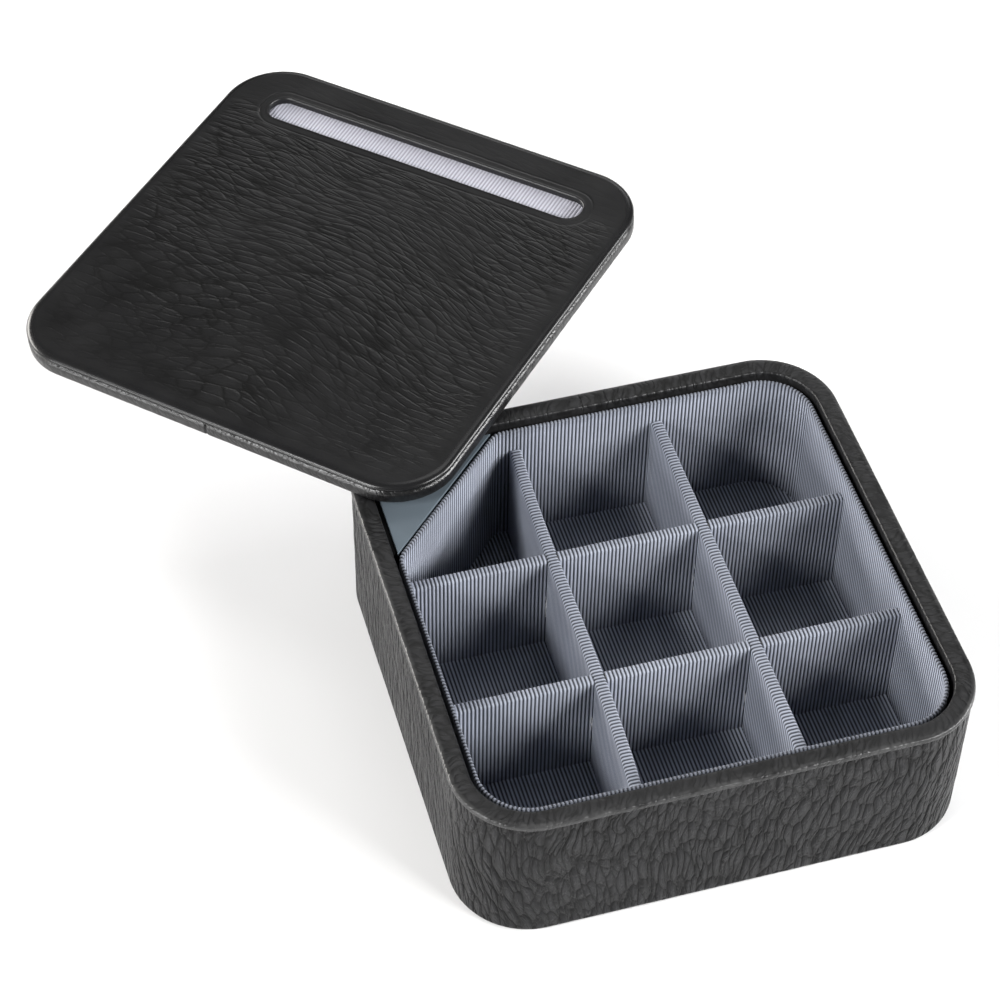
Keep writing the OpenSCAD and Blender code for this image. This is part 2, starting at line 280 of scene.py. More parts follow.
def piece(name, points, faces, material, body, slot, replaced, values=None, grain=None, sharp=50):
    """One smooth shaded object from points in millimetres, which rides on a body.
    Lid pieces come closed and are swung open here."""
    used, index = np.unique(np.concatenate([np.ravel(f) for f in faces]), return_inverse=True)
    mesh = bpy.data.meshes.new(name)
    cuts = np.cumsum([np.size(f) for f in faces])[:-1]
    blocks = [part.reshape(np.shape(f)) for part, f in zip(np.split(index, cuts), faces)]
    mesh.from_pydata((points[used] * MM).tolist(), [], [row for b in blocks for row in b.tolist()])
    for key, value in (values or {}).items():
        attribute = mesh.attributes.new(key, "FLOAT", "POINT")
        attribute.data.foreach_set("value", np.ravel(value)[used].astype(np.float32))
    if grain is not None:
        attribute = mesh.attributes.new("grain", "FLOAT_VECTOR", "POINT")
        cells = np.stack([np.ravel(grain[0]), np.ravel(grain[1]), np.zeros(np.size(grain[0]))], -1)
        attribute.data.foreach_set("vector", cells[used].ravel().astype(np.float32))
    if body == "lid":
        mesh.transform(lid_opening())
    mesh.polygons.foreach_set("use_smooth", [True] * len(mesh.polygons))
    mesh.set_sharp_from_angle(angle=math.radians(sharp))
    mesh.validate()
    mesh.materials.append(material)
    obj = bpy.data.objects.new(name, mesh)
    bpy.context.scene.collection.objects.link(obj)
    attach(obj, body)
    if replaced:
        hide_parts(*replaced)
    return obj


def cell_corners(index):
    """The four corners of each cell of a grid of point numbers, in order."""
    return [index[:-1, :-1], index[1:, :-1], index[1:, 1:], index[:-1, 1:]]


def open_edges(present, corners):
    """The two ends of each cell edge with a present cell on one side only."""
    wide = np.pad(present, 1)
    beside = [wide[1:-1, :-2], wide[2:, 1:-1], wide[1:-1, 2:], wide[:-2, 1:-1]]
    ends = []
    for k in range(4):
        bare = present & ~beside[k]
        ends.append(np.stack([corners[k][bare], corners[(k + 1) % 4][bare]], -1))
    return np.concatenate(ends)


def grid_quads(rows, columns, close_rows=False, close_columns=False):
    """The quads of a grid of points, whose last row or column may meet the first again."""
    index = np.arange(rows * columns).reshape(rows, columns)
    if close_rows:
        index = np.concatenate([index, index[:1]])
    if close_columns:
        index = np.concatenate([index, index[:, :1]], 1)
    return np.stack(cell_corners(index), -1).reshape(-1, 4)


def band_quads(band):
    """The quads of a band of points that closes on itself."""
    return [grid_quads(band.shape[0], band.shape[1], close_rows=True)]


def section_normals(path):
    """Unit normals, to the left, along a section of (outward, up) points."""
    step = np.gradient(path, axis=0)
    step /= np.linalg.norm(step, axis=1)[:, None]
    return np.stack([-step[:, 1], step[:, 0]], -1)


def section_run(path):
    """Length along a section, at each of its points."""
    return np.concatenate([[0], np.cumsum(np.linalg.norm(np.diff(path, axis=0), axis=1))])


def arc(centre, r, start, end, count):
    """Points of an arc in a section, angles in degrees from outward towards up."""
    a = np.radians(np.linspace(start, end, count))
    return np.stack([centre[0] + r * np.cos(a), centre[1] + r * np.sin(a)], -1)


def straight(start, end, step):
    """Points between two section points, without the last one."""
    start, end = np.array(start, float), np.array(end, float)
    count = max(1, round(float(np.linalg.norm(end - start)) / step))
    return start + (end - start) * (np.arange(count) / count)[:, None]


def swept(outline, s, path, lift=None):
    """Points of a section swept round an outline: columns by stations by 3.
    A section point is (how far outside the outline, height). lift moves it along its normal."""
    place, normal = outline.at(s)
    out = np.broadcast_to(path[:, 0], (len(s), len(path))).copy()
    up = np.broadcast_to(path[:, 1], (len(s), len(path))).copy()
    if lift is not None:
        side = section_normals(path)
        out += lift * side[:, 0]
        up += lift * side[:, 1]
    flat = place[:, None, :] + out[:, :, None] * normal[:, None, :]
    return np.concatenate([flat, up[:, :, None]], -1)


def ring_piece(name, outline, s, face, back, lift, **more):
    """A closed shell round an outline: a detailed face and a plain back, both section paths."""
    front = swept(outline, s, face, lift)
    rear = swept(outline, s, np.array(back, float))
    points = np.concatenate([front, rear], 1)
    unseen = np.zeros((len(s), len(back)))
    values = {k: np.concatenate([v, unseen], 1) for k, v in more.pop("values", {}).items()}
    if "grain" in more:
        more["grain"] = [np.concatenate([axis, unseen], 1) for axis in more["grain"]]
    quads = grid_quads(points.shape[0], points.shape[1], close_rows=True, close_columns=True)
    return piece(name, points.reshape(-1, 3), [quads], values=values, **more)


def shell_faces(present):
    """Quads of a thick sheet, where present says which cells of its grid there are.
    Its outer points come first and its inner points follow them in the same order."""
    rows, columns = present.shape[0] + 1, present.shape[1] + 1
    size = rows * columns
    corners = cell_corners(np.arange(size).reshape(rows, columns))
    outer = np.stack(corners, -1)[present]
    a, b = open_edges(present, corners).T
    return np.concatenate([outer, outer[:, ::-1] + size, np.stack([b, a, a + size, b + size], -1)])


def merged(points, faces, tolerance=0.004):
    """Joins points that lie together and drops the faces that vanish by it."""
    keys = np.round(points / tolerance).astype(np.int64)
    first, index = np.unique(keys, axis=0, return_index=True, return_inverse=True)[1:]
    index = index.ravel()
    blocks = []
    for block in faces:
        new = index[block]
        if new.shape[1] == 4:
            order = np.sort(new, 1)
            good = (order[:, 1:] != order[:, :-1]).all(1)
            folded = new[~good]
            blocks.append(new[good])
            triangles = [list(dict.fromkeys(row)) for row in folded.tolist()]
            new = np.array([t for t in triangles if len(t) == 3], int).reshape(-1, 3)
        order = np.sort(new, 1)
        blocks.append(new[(order[:, 1:] != order[:, :-1]).all(1)])
    return points[first], [b for b in blocks if len(b)]


def level(flat, z):
    """Flat points at a height, which may differ from point to point."""
    return np.column_stack([flat, np.broadcast_to(z, len(flat))])


def turned_over(blocks):
    """Faces that look the other way."""
    return [block[:, ::-1] for block in blocks]


def numbered(parts):
    """Points and faces of several (points, faces) parts, one after another."""
    points, blocks, count = [], [], 0
    for part_points, part_blocks in parts:
        points.append(part_points.reshape(-1, 3))
        blocks += [block + count for block in part_blocks]
        count += len(points[-1])
    return np.concatenate(points), blocks


def filled_plane(borders, distance, step):
    """Flat points and faces inside closed borders: a square grid, tied to the borders by
    triangles. distance(x, y) is negative inside."""
    low, high = borders[0].min(0), borders[0].max(0)
    count = np.ceil((high - low) / step).astype(int) + 1
    gx, gy = np.meshgrid(low[0] + step * np.arange(count[0]), low[1] + step * np.arange(count[1]),
                         indexing="ij")
    kept = distance(gx, gy) < -0.6 * step
    cells = kept[:-1, :-1] & kept[1:, :-1] & kept[1:, 1:] & kept[:-1, 1:]
    corners = cell_corners(np.arange(gx.size).reshape(gx.shape))
    grid_points = np.stack([gx.ravel(), gy.ravel()], -1)
    edge_points, stair_index = np.unique(open_edges(cells, corners), return_inverse=True)
    outline_points = [grid_points[edge_points]]
    edges = [stair_index.reshape(-1, 2)]
    total = len(edge_points)
    for border in borders:
        ring = np.arange(len(border)) + total
        edges.append(np.stack([ring, np.roll(ring, -1)], -1))
        outline_points.append(border)
        total += len(border)
    flat = np.concatenate(outline_points)
    made = delaunay_2d_cdt([Vector(p) for p in flat.tolist()], np.concatenate(edges).tolist(), [], 0, 1e-7)
    tie_points = np.array([tuple(v) for v in made[0]])
    ties = np.array([f for f in made[2] if len(f) == 3], int)
    middle = tie_points[ties].mean(1)
    cell = np.clip(((middle - low) / step).astype(int), 0, np.array(cells.shape) - 1)
    ties = ties[(distance(middle[:, 0], middle[:, 1]) < 0) & ~cells[cell[:, 0], cell[:, 1]]]
    a, b, c = (tie_points[ties[:, k]] for k in range(3))
    flipped = (b[:, 0] - a[:, 0]) * (c[:, 1] - a[:, 1]) - (b[:, 1] - a[:, 1]) * (c[:, 0] - a[:, 0]) < 0
    ties[flipped] = ties[flipped][:, ::-1]
    return np.concatenate([grid_points, tie_points]), [np.stack(corners, -1)[cells], ties + len(grid_points)]


# ---- material nodes ----

class Shader:
    """A material's node tree, filled a node at a time."""

    def __init__(self, name):
        self.material = bpy.data.materials.new(name)
        self.material.use_nodes = True
        self.tree = self.material.node_tree
        self.surface = self.tree.nodes["Principled BSDF"]

    def node(self, kind, inputs=None, **settings):
        made = self.tree.nodes.new(kind)
        for key, value in settings.items():
            setattr(made, key, value)
        for key, value in (inputs or {}).items():
            self.put(made.inputs[key], value)
        return made

    def put(self, socket, value):
        if isinstance(value, bpy.types.NodeSocket):
            self.tree.links.new(value, socket)
        else:
            socket.default_value = value

    def math(self, operation, *values):
        made = self.tree.nodes.new("ShaderNodeMath")
        made.operation = operation
        for socket, value in zip(made.inputs, values):
            self.put(socket, value)
        return made.outputs[0]

    def attribute(self, name, output="Fac"):
        return self.node("ShaderNodeAttribute", attribute_name=name).outputs[output]

    def place(self, scale=(1, 1, 1)):
        """Object coordinates, scaled along each axis."""
        coordinates = self.node("ShaderNodeTexCoord").outputs["Object"]
        return self.node("ShaderNodeMapping", {"Vector": coordinates, "Scale": scale}).outputs[0]

    def noise(self, vector, scale, detail=2.0, rough=0.5):
        made = self.node("ShaderNodeTexNoise", {"Vector": vector, "Scale": scale, "Detail": detail,
                                                "Roughness": rough})
        return made.outputs["Fac"]

    def cells(self, vector, scale, feature="DISTANCE_TO_EDGE"):
        made = self.node("ShaderNodeTexVoronoi", {"Vector": vector, "Scale": scale}, feature=feature)
        return made.outputs["Distance"]

    def span(self, value, low, high, to_low=0.0, to_high=1.0):
        made = self.node("ShaderNodeMapRange", {"Value": value, "From Min": low, "From Max": high,
                                                "To Min": to_low, "To Max": to_high})
        return made.outputs[0]

    def smooth(self, value, low, high):
        """0 at low and 1 at high, with soft ends; low may be the larger one."""
        made = self.node("ShaderNodeMapRange", {"Value": value, "From Min": min(low, high),
                                                "From Max": max(low, high), "To Min": float(low > high),
                                                "To Max": float(low < high)}, interpolation_type="SMOOTHSTEP")
        return made.outputs[0]

    def mix(self, factor, first, second):
        made = self.tree.nodes.new("ShaderNodeMix")
        made.data_type = "RGBA"
        self.put(made.inputs["Factor"], factor)
        self.put(made.inputs[6], first)
        self.put(made.inputs[7], second)
        return made.outputs[2]

    def clouded(self, cloud, colour, share):
        """A colour, clouded with a darker share of itself."""
        return self.mix(self.span(cloud, 0.3, 0.7), [c * share for c in colour[:3]] + [1], colour)

    def bump(self, height, distance):
        return self.node("ShaderNodeBump", {"Height": height, "Distance": distance}).outputs[0]

    def finish(self, **sockets):
        for key, value in sockets.items():
            self.put(self.surface.inputs[key.replace("_", " ")], value)
        return self.material


def grey(value, tint=(1, 1, 1)):
    """An RGBA colour from a linear brightness and a tint."""
    return (value * tint[0], value * tint[1], value * tint[2], 1)


# ---- materials ----

def leather(name, tone, rough, pillow, crease, crease_w, fine, pore, shine):
    """Black satin leather. The mesh brings the leather's own coordinates, in grain cells, how
    strong its grain is, where it is rubbed smooth, and where it is painted lighter grey, as
    scuffing and a painted highlight on the rim's edge; the round pebbles, the creases between
    them and the pores are made here, and the creases and the dips between the pebbles are
    painted darker, as painted shade. The depths are for the shading only, in millimetres, and
    the side's are drawn deeper than they are so that its grain can be seen."""
    m = Shader(name)
    place = m.place()
    grain = m.attribute("grain", "Vector")
    amount = m.attribute("amount")
    blur = m.node("ShaderNodeTexNoise", {"Vector": grain, "Scale": 1.3, "Detail": 2.0}).outputs["Color"]
    shaken = m.node("ShaderNodeMix", {"Factor": 0.28}, data_type="RGBA", blend_type="ADD")
    m.put(shaken.inputs[6], grain)
    m.put(shaken.inputs[7], blur)
    coarse = m.cells(shaken.outputs[2], 1.0)
    small = m.cells(shaken.outputs[2], 2.3)
    deep = m.smooth(coarse, crease_w, 0.0)
    thin = m.smooth(small, crease_w * 2.0, 0.0)
    pores = m.noise(place, 1500, 4, 0.65)
    cloud = m.noise(place, 60, 3)
    from_middle = m.span(m.cells(shaken.outputs[2], 1.0, "F1"), 0.0, 0.8)
    pebble = m.math("SUBTRACT", 1.0, m.math("MULTIPLY", from_middle, from_middle))
    height = m.math("SUBTRACT", m.math("MULTIPLY", pebble, pillow), m.math("MULTIPLY", deep, crease))
    height = m.math("SUBTRACT", height, m.math("MULTIPLY", thin, fine))
    height = m.math("ADD", m.math("MULTIPLY", height, amount), m.math("MULTIPLY", pores, pore))
    # The creases and the dips between the pebbles are painted darker: painted shade, laid over the leather's
    # own cloudy tone.
    painted_crease_shade = m.math("MULTIPLY", m.math("MAXIMUM", deep, m.math("SUBTRACT", 1.0, pebble)), amount)
    cloud_and_crease_shade = m.math("MULTIPLY", m.span(cloud, 0.3, 0.7, 0.75, 1.0), m.math("SUBTRACT", 1.0, painted_crease_shade))
    tone_with_crease_shade = m.mix(cloud_and_crease_shade, grey(tone * 0.4), grey(tone * 1.2, (1, 1, 1.05)))
    # Where the mesh marks it, the colour turns a lighter grey: scuffing and a painted highlight on the rim's
    # outer edge.
    colour = m.mix(m.attribute("edge_wear_and_highlight"), tone_with_crease_shade, grey(0.055))
    polish = m.span(m.attribute("rubbed"), 0.0, 1.0, 1.0, 0.68)
    roughness = m.math("MULTIPLY", m.span(cloud, 0.3, 0.7, rough - 0.04, rough + 0.04), polish)
    return m.finish(Base_Color=colour, Roughness=roughness, Normal=m.bump(height, MM),
                    Specular_IOR_Level=shine)


def grosgrain(name, gap, ridge, rough):
    """Ribbed cloth: the ribs are in the mesh, and the fine threads across them are here."""
    m = Shader(name)
    height = m.attribute("ridge")
    along = m.attribute("along")
    turns = m.math("MULTIPLY", along, 2 * math.pi / THREAD_PITCH)
    thread = m.math("SINE", turns)
    place = m.place()
    fibre = m.noise(place, 2600, 2)
    cloud = m.noise(place, 45, 2)
    # The gaps between the ribs take the gap colour, near black on the liner and dividers: painted shade in
    # the gaps, with some darker yarn.
    ridge_tone = m.math("MULTIPLY", m.math("POWER", height, 2.4),
                        m.math("ADD", m.span(thread, -1, 1, 0.82, 1.0), m.span(cloud, 0.3, 0.7, -0.08, 0.08)))
    colour = m.mix(ridge_tone, gap, ridge)
    bumps = m.math("ADD", m.math("MULTIPLY", thread, 0.5), m.span(fibre, 0.3, 0.7, -0.3, 0.3))
    normal = m.bump(bumps, 0.03 * MM)
    return m.finish(Base_Color=colour, Roughness=rough, Normal=normal, Sheen_Weight=0.15,
                    Sheen_Roughness=0.4, Specular_IOR_Level=0.35)


def satin_paint(name, colour):
    """Satin paint on a metal plate, with a faint orange peel."""
    m = Shader(name)
    place = m.place()
    peel = m.noise(place, 900, 2)
    cloud = m.noise(place, 70, 3)
    return m.finish(Base_Color=m.clouded(cloud, colour, 0.92), Metallic=0.35,
                    Roughness=m.span(cloud, 0.3, 0.7, 0.3, 0.4), Normal=m.bump(peel, 0.01 * MM))


def metal(name, colour, rough, lines):
    """Turned or plated metal with fine tool lines."""
    m = Shader(name)
    place = m.place((1, 1, lines))
    marks = m.noise(place, 700, 3)
    cloud = m.noise(m.place(), 120, 3)
    roughness = m.span(cloud, 0.3, 0.7, rough - 0.06, rough + 0.06)
    return m.finish(Base_Color=m.clouded(cloud, colour, 0.85), Metallic=1.0, Roughness=roughness,
                    Normal=m.bump(marks, 0.01 * MM))


def fibre_board(name, dark, light, scale):
    """Pressed fibre or card, speckled, with soft fibres."""
    m = Shader(name)
    place = m.place()
    specks = m.noise(place, scale, 4, 0.7)
    fibres = m.noise(m.place((1, 6, 1)), scale * 0.6, 3)
    tone = m.mix(m.span(m.math("ADD", specks, fibres), 0.7, 1.3), dark, light)
    return m.finish(Base_Color=tone, Roughness=0.85, Normal=m.bump(specks, 0.05 * MM))


def napped(name, dark, light, scale):
    """Felt or a short napped lining."""
    m = Shader(name)
    place = m.place()
    nap = m.noise(place, scale, 4, 0.75)
    cloud = m.noise(place, 80, 2)
    tone = m.mix(m.span(m.math("ADD", nap, m.math("MULTIPLY", cloud, 0.5)), 0.5, 1.0), dark, light)
    return m.finish(Base_Color=tone, Roughness=0.95, Normal=m.bump(nap, 0.12 * MM), Sheen_Weight=0.3,
                    Sheen_Roughness=0.5, Specular_IOR_Level=0.2)


def nylon_plastic(name, colour):
    """Natural nylon, slightly mottled."""
    m = Shader(name)
    cloud = m.noise(m.place(), 300, 3)
    return m.finish(Base_Color=m.clouded(cloud, colour, 0.9), Roughness=0.45,
                    Normal=m.bump(cloud, 0.01 * MM))


def studio_floor(name):
    """Plain pale floor."""
    m = Shader(name)
    cloud = m.noise(m.place(), 2, 2)
    return m.finish(Base_Color=m.mix(cloud, grey(0.86), grey(0.88)), Roughness=0.7, Specular_IOR_Level=0.2)


# These four are one black leather; their tones are set apart, lighter on the side and the rim and darker on
# the lid and its band: painted light and shade for each face.
side_skin = leather("side_leather_black", tone=0.021, rough=0.36, pillow=1.5, crease=0.30,
                    crease_w=0.14, fine=0.15, pore=0.02, shine=0.08)
rim_skin = leather("rim_leather_black", tone=0.017, rough=0.38, pillow=0.14, crease=0.04,
                   crease_w=0.22, fine=0.03, pore=0.03, shine=0.34)
lid_skin = leather("lid_leather_black", tone=0.009, rough=0.34, pillow=0.17, crease=0.06,
                   crease_w=0.16, fine=0.03, pore=0.012, shine=0.34)
edge_skin = leather("edge_leather_black", tone=0.008, rough=0.34, pillow=0.10, crease=0.05,
                    crease_w=0.20, fine=0.03, pore=0.02, shine=0.5)
# The first colour of each grosgrain is its rib gaps', painted dark as shade in the gaps.
cloth = grosgrain("grosgrain_blue_grey", (0.008, 0.010, 0.016, 1), (0.50, 0.535, 0.63, 1), 0.55)
# The floor's copy of the same grosgrain has lighter ridges: painted light, for light that does not reach down
# into the cells.
floor_cloth = grosgrain("grosgrain_floor", (0.008, 0.010, 0.016, 1), (0.64, 0.68, 0.79, 1), 0.55)
ribbon_cloth = grosgrain("grosgrain_light", (0.34, 0.34, 0.39, 1), (0.56, 0.56, 0.63, 1), 0.5)
plate_paint = satin_paint("plate_paint_blue_grey", (0.15, 0.185, 0.215, 1))
zinc = metal("zinc_plated_steel", (0.55, 0.56, 0.58, 1), 0.32, 1)
turned_brass = metal("turned_brass", (0.62, 0.46, 0.20, 1), 0.28, 8)
board = fibre_board("fibre_board", (0.20, 0.13, 0.07, 1), (0.36, 0.25, 0.14, 1), 900)
card = fibre_board("grey_card", (0.30, 0.285, 0.26, 1), (0.46, 0.44, 0.41, 1), 1200)
black_card = fibre_board("black_card", (0.006, 0.006, 0.007, 1), (0.014, 0.014, 0.015, 1), 1200)
felt = napped("black_felt", (0.008, 0.008, 0.009, 1), (0.03, 0.03, 0.033, 1), 1400)
lining = napped("grey_lining", (0.07, 0.074, 0.09, 1), (0.17, 0.178, 0.21, 1), 1600)
nylon = nylon_plastic("natural_nylon", (0.66, 0.64, 0.58, 1))
fibre = napped("pale_fibre", (0.5, 0.5, 0.52, 1), (0.8, 0.8, 0.82, 1), 3000)


# ---- leather relief ----

def side_grain(s, z):
    """The side leather's own coordinates, in cells of its coarse pebbled grain, and its strength."""
    u = s + 3.5 * noise(s / 48, z / 40, 11) + 1.0 * noise(s / 8, z / 8, 12)
    v = z + 4 * noise(s / 37, z / 30, 13) + 1.0 * noise(s / 8, z / 8, 14)
    return (u / 2.1, v / 7.8), 0.8 + 0.2 * noise(s / 40, z / 22, 17)


def side_relief(s, z):
    """Soft swellings of the side leather, in millimetres."""
    (u, v), strength = side_grain(s, z)
    pebbles = smoothstep(0, 0.8, cell_creases(u * 0.7, v * 0.7, 15))
    return 0.07 * pebbles * strength + 0.08 * layered(s / 18, z / 14, 18)


def lid_grain(x, y):
    """The lid leather's own coordinates, in cells of its long flowing grain, and its strength."""
    sweep = 20 * smoothstep(-66, 6, x) * np.exp(-((y + 5) / 80) ** 2)
    sweep = sweep + 8 * smoothstep(10, 66, x) * smoothstep(0, -60, y)
    sweep = sweep - 9 * smoothstep(-74, 6, x) * smoothstep(-5, 85, y)
    u = x - 0.3 * y + 4 * noise(x / 40, y / 36, 21)
    v = y + sweep + 2 * noise(x / 40, y / 46, 23) + 1.0 * noise(x / 19, y / 17, 24)
    calm = 0.85 * smoothstep(-5.0, 1.0, slot_centre_y() - y)
    strength = (0.75 + 0.35 * noise(x / 30, y / 30, 28)) * (1 - calm)
    strength = strength * smoothstep(-1.2, -9, lid_distance(x, y)) * smoothstep(1.5, 6.5, slot_distance(x, y))
    return (u / 9.0, v / 2.1), np.clip(strength, 0, 1)


def lid_relief(x, y):
    """Swellings of the lid's leather, and the pressed line and raised lip round its slot."""
    (u, v), strength = lid_grain(x, y)
    swelling = 0.06 * strength * smoothstep(0, 0.8, cell_creases(u * 0.6, v * 0.6, 26))
    around_slot = slot_distance(x, y)
    wobble = 0.22 * noise(x / 4, y / 4, 31) + 3.2
    pressed = np.exp(-((around_slot - wobble) / 0.26) ** 2) * (0.8 + 0.4 * noise(x / 3, y / 3, 32))
    raised = np.exp(-((around_slot - 0.5) / 0.3) ** 2)
    return swelling - 0.2 * pressed + 0.15 * raised


def strip_grain(s, across, seed):
    """A narrow strip's own coordinates, in cells that lie across it, and their strength."""
    u = s + 0.35 * across + 2.5 * noise(s / 9, across / 6, seed)
    u = u + 0.5 * noise(s / 1.5, across / 1.5, seed + 1)
    return (u / 2.0, across / 5.0), np.clip(0.75 + 0.35 * noise(s / 24, across / 20, seed + 2), 0, 1)


def strip_relief(s, across, seed, height):
    """Transverse wrinkles of a narrow leather strip, in millimetres."""
    turned = s + 0.4 * across + 2.0 * noise(s / 7, across / 4, seed)
    wrinkles = (1 - np.abs(noise(turned / 2.3, across / 7, seed + 1))) ** 2
    patches = np.clip(0.7 + 0.5 * noise(s / 20, across / 20, seed + 2), 0, 1)
    return height * (wrinkles * patches + 0.25 * noise(s / 1.5, across / 1.5, seed + 3))


def butt_joints(s, places, width=0.45):
    """A groove of depth 1 where two ends of a strip meet."""
    groove = np.zeros_like(s)
    for place in places:
        groove = np.maximum(groove, np.exp(-((s - place) / width) ** 2))
    return groove


# ---- box pieces ----

def make_side_leather():
    """The leather round the walls, with a round lower edge, turned in underneath."""
    outline = box_outline()
    low, high = rest_box("side_leather")
    face_in = -LIP_PROUD
    turn_r = 1.6
    centre = (face_in - turn_r, low[2] + turn_r)
    face = np.concatenate([
        [(-WALL_IN, low[2])],
        straight((-WALL_IN + 0.5, low[2]), (centre[0], low[2]), 0.8),
        arc(centre, turn_r, -90, 0, 6)[:-1],
        straight((face_in, centre[1]), (face_in, high[2]), COLUMN_STEP),
        [(face_in, high[2])],
    ])
    inner = face_in - LEATHER_T
    back = [(inner, high[2]), (inner, low[2] + 0.6), (-WALL_IN, low[2] + 0.6)]
    s = outline.columns(COLUMN_STEP)
    grid_s, grid_z = np.broadcast_arrays(s[:, None], face[None, :, 1])
    grain, amount = side_grain(grid_s, np.broadcast_to(section_run(face), grid_s.shape))
    fade = smoothstep(low[2] + 0.1, low[2] + 2.5, grid_z) * smoothstep(high[2] + 0.1, high[2] - 1.2, grid_z)
    seam = butt_joints(grid_s, [0, outline.length], 0.35)
    lift = (0.35 * seam - side_relief(grid_s, grid_z)) * fade
    return ring_piece("side_leather_wrap", outline, s, face, back, lift, material=side_skin, body="box",
                      slot="side_leather", replaced=["side_leather"], values={"amount": amount}, grain=grain)


def make_rim_leather():
    """The crowned strip over the rim, with its outer lip and its flange down inside."""
    outline = box_outline()
    low, high = rest_box("rim_leather")
    top, flange = high[2], low[2]
    inner = -(WALL_IN + 0.7)
    lip_bottom = top - LEATHER_T - 0.9
    face = np.concatenate([
        [(-LIP_PROUD, lip_bottom)],
        arc((-0.3, lip_bottom + 0.3), 0.3, -60, 0, 3),
        arc((-0.85, top - 0.95), 0.85, 0, 80, 6),
        [(-1.5, top - 0.02), (-2.3, top), (-3.1, top - 0.02), (-3.8, top - 0.06), (-4.4, top - 0.12)],
        arc((inner + 0.8, top - 1.0), 0.8, 100, 180, 6),
        straight((inner, top - 1.6), (inner, flange), 2.4),
        [(inner, flange)],
    ])
    back = [(-WALL_IN, flange), (-WALL_IN, top - LEATHER_T), (-LIP_PROUD - 0.05, top - LEATHER_T)]
    s = outline.columns(STRIP_STEP)
    grid_s, across = np.broadcast_arrays(s[:, None], face[None, :, 0] - face[None, :, 1])
    grain, amount = strip_grain(grid_s, across, 45)
    front = [outline.length / 2 + place for place in RIM_FRONT_JOINTS]
    back_side = [place % outline.length for place in RIM_BACK_JOINTS]
    outer_part = smoothstep(-3.0, -1.0, face[None, :, 0])
    inner_part = smoothstep(-4.0, -5.3, face[None, :, 0]) * smoothstep(top - 6, top - 3, face[None, :, 1])
    joint = np.maximum(butt_joints(grid_s, front) * outer_part, butt_joints(grid_s, back_side) * inner_part)
    hidden = smoothstep(top - 3.0, top - 1.8, face[None, :, 1])
    # The rounded outer edge is painted a lighter grey in patches: partly scuffed leather, partly a painted
    # highlight.
    edge_wear_and_highlight = smoothstep(-1.5, -0.6, face[None, :, 0]) * smoothstep(top - 1.3, top - 0.6, face[None, :, 1])
    patches = 0.55 + 0.45 * noise(grid_s / 9, across / 9, 47) + 0.3 * noise(grid_s / 1.1, across, 48)
    edge_wear_and_highlight = edge_wear_and_highlight * np.clip(patches, 0, 1)
    lift = 0.16 * joint - strip_relief(grid_s, across, 41, 0.09) * hidden * (1 - 0.7 * outer_part)
    return ring_piece("rim_leather_strip", outline, s, face, back, lift, material=rim_skin, body="box",
                      slot="rim_leather", replaced=["rim_leather"], grain=grain,
                      values={"amount": amount * hidden, "edge_wear_and_highlight": edge_wear_and_highlight,
                              "rubbed": 0.6 * outer_part * np.ones(amount.shape)})


def rib_columns(length, pitch=RIB_PITCH):
    """Places along a length, each place's ridge height from 0 to 1, and its rib's number."""
    count = round(length / pitch)
    turn = np.arange(count * RIB_SAMPLES + 1) / RIB_SAMPLES
    return length * turn / count, np.abs(np.sin(np.pi * turn)) ** 0.8, np.floor(turn + 0.5 / RIB_SAMPLES)


def rib_lift(ridge):
    """The cloth's height over the CAD surface: ribs stand just over it, gaps lie below it."""
    return RIB_DEPTH * (ridge - 1) + RIB_PROUD


def thread_shift(rib):
    """The cross threads of every other rib are half a thread further on."""
    return THREAD_PITCH / 2 * (rib % 2)


def make_liner():
    """The ribbed cloth over the liner card, folded over its top edge."""
    outline = liner_outline(LINER_T)
    low, high = rest_box("liner_fabric")
    top, fold_r = high[2], LINER_T / 2
    face = np.concatenate([
        [(LINER_T, top - 7.6), (LINER_T, top - 4)],
        arc((fold_r, top - fold_r), fold_r, 0, 180, 9),
        straight((0, top - 3), (0, low[2]), 3.6),
        [(0, low[2])],
    ])
    card_r = fold_r - FABRIC_T
    back = np.concatenate([
        [(FABRIC_T, low[2])],
        arc((fold_r, top - fold_r), card_r, 180, 0, 5),
        [(LINER_T - FABRIC_T, top - 7.6)],
    ])
    s, ridge, rib = rib_columns(outline.length)
    s, ridge, rib = s[:-1], ridge[:-1], rib[:-1]
    grid_s, depth = np.broadcast_arrays(s[:, None], (top - face[:, 1])[None, :])
    slack = 0.10 * noise(grid_s / 26, depth / 18, 51) * smoothstep(0, 4, depth)
    lift = (rib_lift(ridge)[:, None] + slack) * -1
    along = section_run(face)[None, :] + thread_shift(rib)[:, None]
    # Over the fold at the top the ribs are painted up to 0.3 darker: painted shade, as the fold takes more
    # light than the walls.
    values = {"ridge": ridge[:, None] * (1 - 0.3 * smoothstep(1.2, 0.0, depth)), "along": along}
    return ring_piece("liner_grosgrain", outline, s, face, back, lift, material=cloth, body="box",
                      slot="grosgrain", replaced=["liner_fabric"], values=values, sharp=80)


